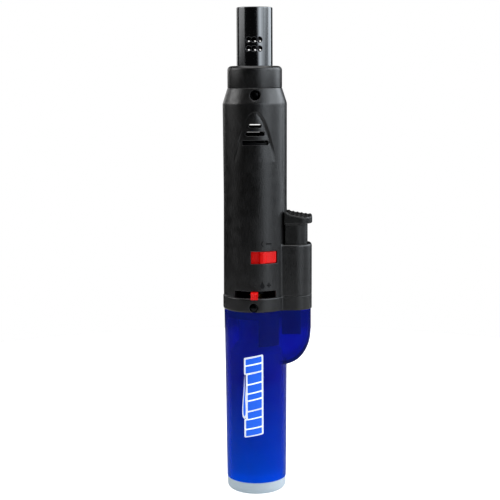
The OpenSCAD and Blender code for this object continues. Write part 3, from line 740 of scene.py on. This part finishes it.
def sleeve_solid(x, y, z, inset):
    """The sleeve's filled outline, taken in by inset."""
    r = np.hypot(x, y)
    body = r - sleeve_radius(z) + inset
    half_w, corner, reach = POD_HALF_W - 0.1 - inset, POD_CORNER - 0.1 - inset, POD_REACH - 0.15 - inset
    plan = pod_plan(x, y, reach, half_w, corner)
    a, b = BULGE_AXES[0] - inset, BULGE_AXES[1] - inset
    ex, ez = np.maximum(x - BULGE_CENTRE[0], 0) / a, np.minimum(z - BULGE_CENTRE[1], 0) / b
    size = np.sqrt(ex ** 2 + ez ** 2)
    tail = (size - 1) * size / np.maximum(np.sqrt((ex / a) ** 2 + (ez / b) ** 2), 1e-4)
    tail = np.where(size < 0.3, -6.0, tail)
    return smin(body, smax(plan, tail, 1.0), 0.6)


def sleeve_field(x, y, z):
    wall = smax(sleeve_solid(x, y, z, 0.0), -sleeve_solid(x, y, z, SLEEVE_WALL), 0.15)
    return smax(wall, between(z, FOOT_H, COLLAR_Z0), 0.2)


def make_sleeve():
    rs = steps((10.4, 13.8, 0.3), (13.8, 24.0, 0.5))
    zs = steps((FOOT_H - 0.4, FOOT_H + 1.2, 0.2), (FOOT_H + 1.2, 50, 1.4), (50, COLLAR_Z0 - 0.6, 0.5),
               (COLLAR_Z0 - 0.6, COLLAR_Z0 + 0.4, 0.2))
    obj = field_mesh("sleeve_shell", sleeve_field, round_grid(rs, 224, zs), 0.3, wrap=True)
    return place(obj, "tank_sleeve")


def make_tank():
    edge, wall = 2.2, 1.3
    body_r, neck_r, neck_in_r, neck_z1 = 10.9, 7.2, 5.9, 76.0
    foot = [(9.0, 3.0), (9.0, 0.3), (9.3, 0.0)]
    foot += arc(FOOT_R - edge, edge, edge, -90, 0, 10)
    foot += arc(FOOT_R - 0.3, FOOT_H - 0.3, 0.3, 0, 90, 3)
    outside = [(body_r, FOOT_H)] + arc(body_r - 0.6, 59.6, 0.6, 0, 45, 3)
    outside += [(neck_r, 64.5), (neck_r, neck_z1)]
    inside = [(neck_in_r, neck_z1), (neck_in_r, 63.5), (body_r - wall, 59.0), (body_r - wall, 6.6)]
    inside += arc(8.8, 6.2, 0.8, 0, -90, 4) + [(5.4, 5.4)]
    port = arc(5.4, 6.2, 0.8, -90, -180, 4) + [(4.6, 9.0), (3.05, 9.0), (3.05, 3.0)]
    return place(lathe("tank_moulding", foot + outside + inside + port, 192), "fuel_tank")


# ---------------------------------------------------------------- thumb button
def pad_top(x, y):
    """Height of the thumb pad: it falls away from the housing and is crowned from side to side."""
    rise = 0.9 * np.exp(-np.maximum(x - 13, 0) / 0.9)
    lip = 0.3 * np.clip((x - 21.4) / 1.8, 0, 1) ** 2
    return 119.5 - 0.17 * (x - 13) + rise + lip - 0.020 * y ** 2


def button_field(x, y, z):
    r = np.hypot(x, y)
    head_plan = smax(pod_plan(x, y, BUTTON_REACH, HEAD_HALF_W, BUTTON_CORNER), BUTTON_IN_R - r, 0.4)
    ribs = 0.16 * np.maximum(np.cos((x - 14.3) * TAU / 1.75), -0.5)
    on_pad = np.clip(1.0 - np.maximum(np.abs(y) - 6.6, 0) / 0.7, 0, 1) * np.clip((22.9 - x) / 0.7, 0, 1)
    head = smax(head_plan, z - pad_top(x, y) - ribs * on_pad, 0.7)
    head = smax(head, 114.5 - z, 0.7)
    stem = pod_plan(x, y, BUTTON_STEM_X, BUTTON_STEM_HALF_W, BUTTON_CORNER)
    stem = np.maximum(smax(stem, BUTTON_IN_R - r, 0.3), between(z, 99.0, 116.0))
    solid = smin(head, stem, 0.7)
    hollow = pod_plan(x, y, BUTTON_STEM_X - BUTTON_WALL, BUTTON_STEM_HALF_W - BUTTON_WALL,
                      BUTTON_CORNER - BUTTON_WALL)
    hollow = np.maximum(hollow, np.maximum(z - 113.3, BUTTON_IN_R + 0.9 - r))
    post = np.maximum(np.maximum(np.abs(x - IGNITER_X) - 1.35, np.abs(y) - 2.5), 104.5 - z)
    return smax(solid, -np.maximum(hollow, -post), 0.15)


def tongue_field(x, y, z):
    """The button's tongue, whose leaning face moves the bell crank."""
    bar = np.maximum(between(x, 11.3, 12.5), between(z, 84.2, 100.4))
    bridge = np.maximum(between(x, 11.3, BUTTON_IN_R + 0.5), between(z, 99.0, 100.4))
    lean = 11.07 - 0.1587 * np.clip(z - 84.6, 0, 5.5)
    wedge = np.maximum(np.maximum(lean - x, x - 12), between(z, 84.3, 91.5))
    wedge = np.maximum(wedge, (z - 91 - (x - 10.2) * 1.2) / 1.56)
    return smax(np.minimum(np.minimum(bar, bridge), wedge), np.abs(y) - 2.4, 0.2)


def make_button():
    xs = steps((9.6, BUTTON_REACH + 0.5, 0.22))
    ys = steps((-9.0, 9.0, 0.22))
    zs = steps((98.6, 113.8, 0.4), (113.8, 121.2, 0.2))
    top = field_mesh("button_cap", button_field, box_grid(xs, ys, zs), 0.2)
    tongue_grid = box_grid(steps((9.8, 14.6, 0.2)), steps((-2.8, 2.8, 0.2)), steps((83.8, 100.8, 0.25)))
    tongue = field_mesh("button_tongue", tongue_field, tongue_grid, 0.15)
    trim(tongue, "button_plastic", "button")
    return place(top, "thumb_button", "button")


# ---------------------------------------------------------------- lock slider and flame lever
LOCK_ANGLE = 13.3
PAD_END = math.radians(LOCK_WINDOW[1] - 0.8 - LOCK_ANGLE) * HOUSING_R


def lock_field(x, y, z):
    r = np.hypot(x, y)
    plate_r = HOUSING_IN_R - 0.15
    plate = between(r, plate_r - 0.9, plate_r - 0.1)
    plate = np.maximum(plate, arc_span(x, y, HOUSING_R, (-23.5, 57.5)))
    plate = smax(plate, between(z, LOCK_Z[0] - 1.4, LOCK_Z[1] + 1.4), 0.2)
    along = np.radians(angle_from_front(x, y) - LOCK_ANGLE) * HOUSING_R
    crest = HOUSING_R + 0.6 - 0.5 * np.clip(np.abs(along) / 1.4, 0, 1) ** 2
    ridge = smax(np.maximum(plate_r - 0.5 - r, np.abs(along) - 1.4), r - crest, 0.3)
    pad = np.maximum(plate_r - 0.5 - r, np.maximum(1.0 - along, along - PAD_END))
    pad = smax(pad, r - HOUSING_R + 0.15, 0.35)
    raised = smax(smin(ridge, pad, 0.1), between(z, LOCK_Z[0] + 0.22, LOCK_Z[1] - 0.22), 0.3)
    return smin(plate, raised, 0.25)


def make_lock():
    rs = steps((10.4, 14.3, 0.16))
    a = np.radians(steps((-28, 62, 0.7)))
    zs = steps((LOCK_Z[0] - 1.8, LOCK_Z[1] + 1.8, 0.2))
    r, t, z = np.meshgrid(rs, a, zs, indexing="ij")
    grid = np.stack([r * np.sin(t), -r * np.cos(t), z], axis=-1)
    return place(field_mesh("lock_slide_button", lock_field, grid, 0.15), "lock_slider", "lock")


LEVER_ANGLE = -3.4
LEVER_BORE_R = 3.58


def lever_hub_field(x, y, z):
    across, depth = radial_frame(x, y, LEVER_ANGLE)
    bore = LEVER_BORE_R - np.hypot(x, y)
    ring = np.maximum(np.hypot(x, y) - 6, bore)
    arm = smax(np.maximum(np.abs(across) - 1.3, between(depth, 4, 12.4)), bore, 0.1)
    return smax(smin(ring, arm, 0.4), between(z, 84.9, 86.7), 0.3)


def lever_tip_field(x, y, z):
    across, depth = radial_frame(x, y, LEVER_ANGLE)
    notch = np.hypot((np.abs(across) - 0.42) % 0.84 - 0.42, depth - 15.45) - 0.3
    top = 87.0 - 0.5 * np.clip((depth - 14.2) / 1.1, 0, 1)
    bottom = np.where(depth > COLLAR_R + 0.25, COLLAR_Z1 - 0.35, 84.7)
    plan = np.maximum(np.abs(across) - 1.6, between(depth, 11.6, 15.3))
    tip = smax(plan, np.maximum(bottom - z, z - top), 0.3)
    return smax(tip, -np.where(np.abs(across) < 1.3, notch, 1.0), 0.1)


def make_lever():
    hub_grid = box_grid(steps((-6.4, 6.4, 0.25)), steps((-12.8, 6.4, 0.25)), steps((84.5, 87.1, 0.2)))
    hub = field_mesh("flame_lever_hub", lever_hub_field, hub_grid, 0.15)
    trim(hub, "inner_plastic", "flame_adjuster")
    tip_grid = box_grid(steps((-2.2, 2.2, 0.14)), steps((-15.9, -11.2, 0.14)), steps((83.6, 87.4, 0.14)))
    tip = field_mesh("flame_lever_tip", lever_tip_field, tip_grid, 0.12)
    return place(tip, "flame_lever", "flame_adjuster")


# ---------------------------------------------------------------- screws
def make_screw(name, node, angle, z, shank, head):
    """Domed screw along a radius of the torch; shank and head are (inner, outer) distances."""
    shank_r, head_r = 0.92, 1.75
    dome = arc(0, 0, head_r, 8, 82, 8)
    tall = head[1] - head[0]
    profile = [(0.02, shank[0]), (shank_r * 0.7, shank[0]), (shank_r, shank[0] + 0.3), (shank_r, head[0]),
               (head_r, head[0])]
    profile += [(r, head[0] + tall * (0.35 + 0.65 * h / head_r)) for r, h in dome]
    profile += [(0.02, head[1])]
    obj = lathe(name, profile, 48)
    turn = Matrix.Rotation(math.radians(angle), 4, "Z") @ Matrix.Translation(Vector((0, 0, z)) * MM)
    obj.data.transform(turn @ Matrix.Rotation(math.radians(90), 4, "X"))
    return place(obj, node)


# ---------------------------------------------------------------- hose, wire and springs
def make_hose():
    points = [(0, 0, 94.1), (0, 0, 97), (0, 0, 100), (0.4, 0, 104), (1.3, 0, 110), (2.3, 0, 116),
              (3.0, 0, 122), (3.2, 0, 129), (3.2, 0, 138), (3.2, 0, 150), (3.2, 0, 154.6)]
    return place(sweep("gas_hose_tube", smooth_route(points, 120), 1.2, 20), "gas_hose")


def make_wire():
    points = [(12.25, 4, 80), (12.25, 4, 85), (11.6, 4.6, 88.5), (10.4, 5.1, 92), (9.6, 5.2, 96),
              (9.3, 5.2, 102), (8.9, 5.2, 112), (8.2, 5.0, 124), (7.3, 4.4, 138), (6.8, 4.0, 144),
              (6.8, 4.0, 150), (5.6, 3.2, 155), (4.7, 2.7, 158)]
    return place(sweep("ignition_lead", smooth_route(points, 140), 0.58, 14), "ignition_wire")


def make_spring(name, node, centre, radius, wire, z0, z1, turns):
    """Compression spring with closed end turns."""
    n = turns * 28
    points = []
    for i in range(n + 1):
        part = i / n
        rise = np.clip((part * turns - 0.9) / (turns - 1.8), 0, 1)
        a = TAU * turns * part
        z = z0 + wire + (z1 - z0 - 2 * wire) * (0.06 * part + 0.94 * rise)
        points.append((centre[0] + radius * math.cos(a), centre[1] + radius * math.sin(a), z))
    coil = place(sweep(name, points, wire, 10), node)
    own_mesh(coil)
    return coil


# ---------------------------------------------------------------- printed and moulded marks
def slanted_bar(s0, s1, z0, z1, lean, r=0.35):
    """Parallelogram with small rounded corners, rising by lean across its width."""
    corners = [(s0, z0), (s1, z0 + lean), (s1, z1 + lean), (s0, z1)]
    out = []
    for i, (x, y) in enumerate(corners):
        px, py = corners[i - 1]
        nx, ny = corners[(i + 1) % 4]
        before = Vector((px - x, py - y)).normalized() * r
        after = Vector((nx - x, ny - y)).normalized() * r
        for t in (0, 0.25, 0.5, 0.75, 1):
            q = Vector((x, y)) + before * (1 - t) ** 2 + after * t ** 2
            out.append((q.x, q.y))
    return out


def streak(s, z0, z1, w, n=24):
    """Slim comet shape, wide at its foot and drawn out upwards."""
    side = [(w * math.sin(math.pi * min(1, t) ** 0.45) * (1 - 0.55 * t), z0 + (z1 - z0) * t)
            for t in (i / n for i in range(1, n))]
    return [(s, z0)] + [(s + a, z) for a, z in side] + [(s, z1)] + [(s - a, z) for a, z in side[::-1]]


def make_print():
    """Generic graphic on the sleeve: slanted blue bars and a streak on a white ground."""
    # The inks glow a little: painted light.
    ink_white = glowing_printed_ink("print_white", (0.80, 0.86, 0.98))
    ink_blue = glowing_printed_ink("print_blue", (0.01, 0.13, 0.85))
    middle, lean, gap, right = -1.4, 1.7, 0.62, 3.6
    heights = (2.6, 3.6, 2.9, 3.9, 2.4, 3.3, 3.9, 2.9, 2.5)
    white, blue = [], []
    base = 25.6
    for i, height in enumerate(heights):
        left = -2.3 - 0.8 * (i in (0, 1, 7, 8))
        white.append(slanted_bar(left - 0.75, right + 0.7, base - gap, base + height + gap, lean, 0.6))
        blue.append(slanted_bar(left, right, base, base + height, lean - 0.15, 0.4))
        base += height + gap
    white.append(streak(-3.75, 33.0, 52.0, 1.15))
    blue.append(streak(-3.75, 34.0, 50.5, 0.6))
    angle = math.degrees(middle / float(sleeve_radius(40)))
    for name, outlines, lift, ink in (("white", white, 0.02, ink_white), ("blue", blue, 0.06, ink_blue)):
        plate = wrapped(f"sleeve_print_{name}", outlines, sleeve_radius, lift, 0.03, angle)
        trim(plate, "blue_translucent", material=ink)


def bar_outline(cx, cz, w, h):
    x0, x1, z0, z1 = cx - w / 2, cx + w / 2, cz - h / 2, cz + h / 2
    return [(x0, z0), (x1, z0), (x1, z1), (x0, z1)]


def make_marks():
    """Small raised marks of the housing: arrow and minus by the lock, drop and plus by the lever."""
    left, right, angle = -1.3, 1.55, 17.0
    z = 107.0
    arrow = [(left + 0.6, z + 1.1), (left + 0.2, z + 1.1), (left - 0.7, z), (left + 0.2, z - 1.1),
             (left + 0.6, z - 1.1), (left - 0.2, z)]
    minus = bar_outline(right, z, 2.3, 0.6)
    z = 89.8
    turn = np.radians(np.arange(150, 391, 20))
    drop = [(left + 0.9 * math.cos(a), z - 0.4 + 0.9 * math.sin(a)) for a in turn] + [(left, z + 1.7)]
    plus = [bar_outline(right, z, 1.9, 0.55)]
    plus += [bar_outline(right, z + step, 0.55, 0.68) for step in (0.6, -0.6)]
    for name, outlines in (("lock_marks", [arrow, minus]), ("lever_marks", [drop] + plus)):
        trim(wrapped(name, outlines, housing_radius, -0.05, 0.2, angle), "inner_plastic")


# ---------------------------------------------------------------- stage, camera and light
def make_camera():
    """Camera fitted to the photo: it looks down a little and leans over slightly. Lengths in m."""
    tilt, roll = 7.75, 0.33
    data = bpy.data.cameras.new("camera")
    data.lens = 84.6
    data.sensor_width = 36
    camera = link_object("camera", data)
    camera.location = (-0.00235, -0.490, 0.1695)
    aim = Matrix.Rotation(math.radians(90 - tilt), 4, "X") @ Matrix.Rotation(math.radians(-roll), 4, "Z")
    camera.rotation_euler = aim.to_euler()
    bpy.context.scene.camera = camera


def softbox(name, azimuth, distance, width, z0, z1, radiance, feather=0.0, rise=0.0, colour=(1, 1, 1)):
    """Upright softbox facing the main axis; azimuth is from the front towards the pod, lengths in m.

    Its side edges fade over feather and its lower edge over rise, by four panels one behind the other."""
    a = math.radians(azimuth)
    layers = 4 if feather or rise else 1
    for i in range(layers):
        part = i / max(layers - 1, 1)
        wide = width - 2 * feather * part
        low_edge = z0 + rise * part
        away = distance + 0.004 * i
        data = bpy.data.lights.new(f"{name}_{i}", "AREA")
        data.shape = "RECTANGLE"
        data.size = wide
        data.size_y = z1 - low_edge
        data.energy = radiance / layers * math.pi * wide * (z1 - low_edge)
        data.color = colour
        light = link_object(f"{name}_{i}", data)
        light.location = (away * math.sin(a), -away * math.cos(a), (low_edge + z1) / 2)
        light.rotation_euler = Vector((-math.sin(a), math.cos(a), 0)).to_track_quat("-Z", "Z").to_euler()


def overhead(name, height, size, radiance):
    """Round light facing down over the torch; lengths in m."""
    data = bpy.data.lights.new(name, "AREA")
    data.shape = "DISK"
    data.size = size
    data.energy = radiance * math.pi * math.pi * size ** 2 / 4
    light = link_object(name, data)
    light.location = (0, 0, height)


def background(tree, colour, strength):
    node = tree.nodes.new("ShaderNodeBackground")
    node.inputs["Color"].default_value = (*colour, 1)
    node.inputs["Strength"].default_value = strength
    return node.outputs["Background"]


def make_world():
    """White for the camera; a dim room for reflections, so that the softboxes shape the metal."""
    world = bpy.data.worlds.new("studio")
    bpy.context.scene.world = world
    world.use_nodes = True
    tree = world.node_tree
    tree.nodes.clear()
    out = tree.nodes.new("ShaderNodeOutputWorld")
    path = tree.nodes.new("ShaderNodeLightPath")
    mix = tree.nodes.new("ShaderNodeMixShader")
    tree.links.new(path.outputs["Is Camera Ray"], mix.inputs["Fac"])
    tree.links.new(background(tree, (0.9, 0.95, 1.0), 0.01), mix.inputs[1])
    tree.links.new(background(tree, (1, 1, 1), 1.0), mix.inputs[2])
    tree.links.new(mix.outputs["Shader"], out.inputs["Surface"])


def make_floor():
    """White disk; for the camera it shines, so that it fades into the paper behind."""
    bm = bmesh.new()
    bmesh.ops.create_circle(bm, cap_ends=True, radius=0.34, segments=96)
    floor = object_from(bm, "floor")
    mat, tree, shader = new_material("paper_floor")
    tone = noise(tree, object_coords(tree), 40, 3)
    paper = blend_colours(tree, tone, (0.62, 0.62, 0.62), (0.67, 0.67, 0.67))
    tree.links.new(paper, shader.inputs["Base Color"])
    shader.inputs["Roughness"].default_value = 0.9
    shader.inputs["Emission Color"].default_value = (1, 1, 1, 1)
    path = tree.nodes.new("ShaderNodeLightPath")
    tree.links.new(path.outputs["Is Camera Ray"], shader.inputs["Emission Strength"])
    floor.data.materials.append(mat)


def make_lights():
    cool, far = (0.88, 0.94, 1.0), 0.75
    softbox("front_right", 47, far, 0.76, 0.0, 0.80, 2.5, 0.26, 0.16, cool)
    softbox("right_low", 84, far - 0.01, 0.50, 0.10, 0.30, 0.5, 0.0, 0.0, cool)
    softbox("right_high", 80, far - 0.01, 0.60, 0.28, 0.80, 3.0, 0.1, 0.1, cool)
    softbox("right", 117, far, 0.80, 0.15, 0.62, 4.4, 0.28, 0.16, cool)
    softbox("left", -92, far, 0.46, 0.09, 0.80, 3.8, 0.18, 0.16)
    softbox("left_rear", -150, far, 0.28, 0.10, 0.45, 1.6, 0.1, 0.10)
    overhead("top", 0.95, 1.1, 2.0)


bpy.context.scene.view_settings.view_transform = "Standard"
make_camera()
make_world()
make_floor()
make_lights()

make_housing()
make_nozzle_cap()
make_flame_tube()
make_collar()
make_sleeve()
make_tank()
make_button()
make_lock()
make_lever()
make_screw("collar_fixing_screw", "collar_screw", SCREW_ANGLE, SCREW_Z, (8.6, 12.65), (12.65, 13.35))
make_screw("nose_set_screw", "nose_screw", 0.0, NOSE_HOLE_Z, (TUBE_SEAT_R + 0.02, 9.6), (9.6, 10.3))
make_hose()
make_wire()
make_spring("fill_valve_coil", "fill_spring", (0, 0), 1.25, 0.16, 8.45, 11.15, 4)
make_spring("outlet_valve_coil", "valve_spring", (0, 0), 1.56, 0.18, 73.5, 77.95, 5)
make_spring("igniter_coil", "piezo_spring", (IGNITER_X, 0), 0.85, 0.17, 76.05, 100.4, 11)
make_print()
make_marks()
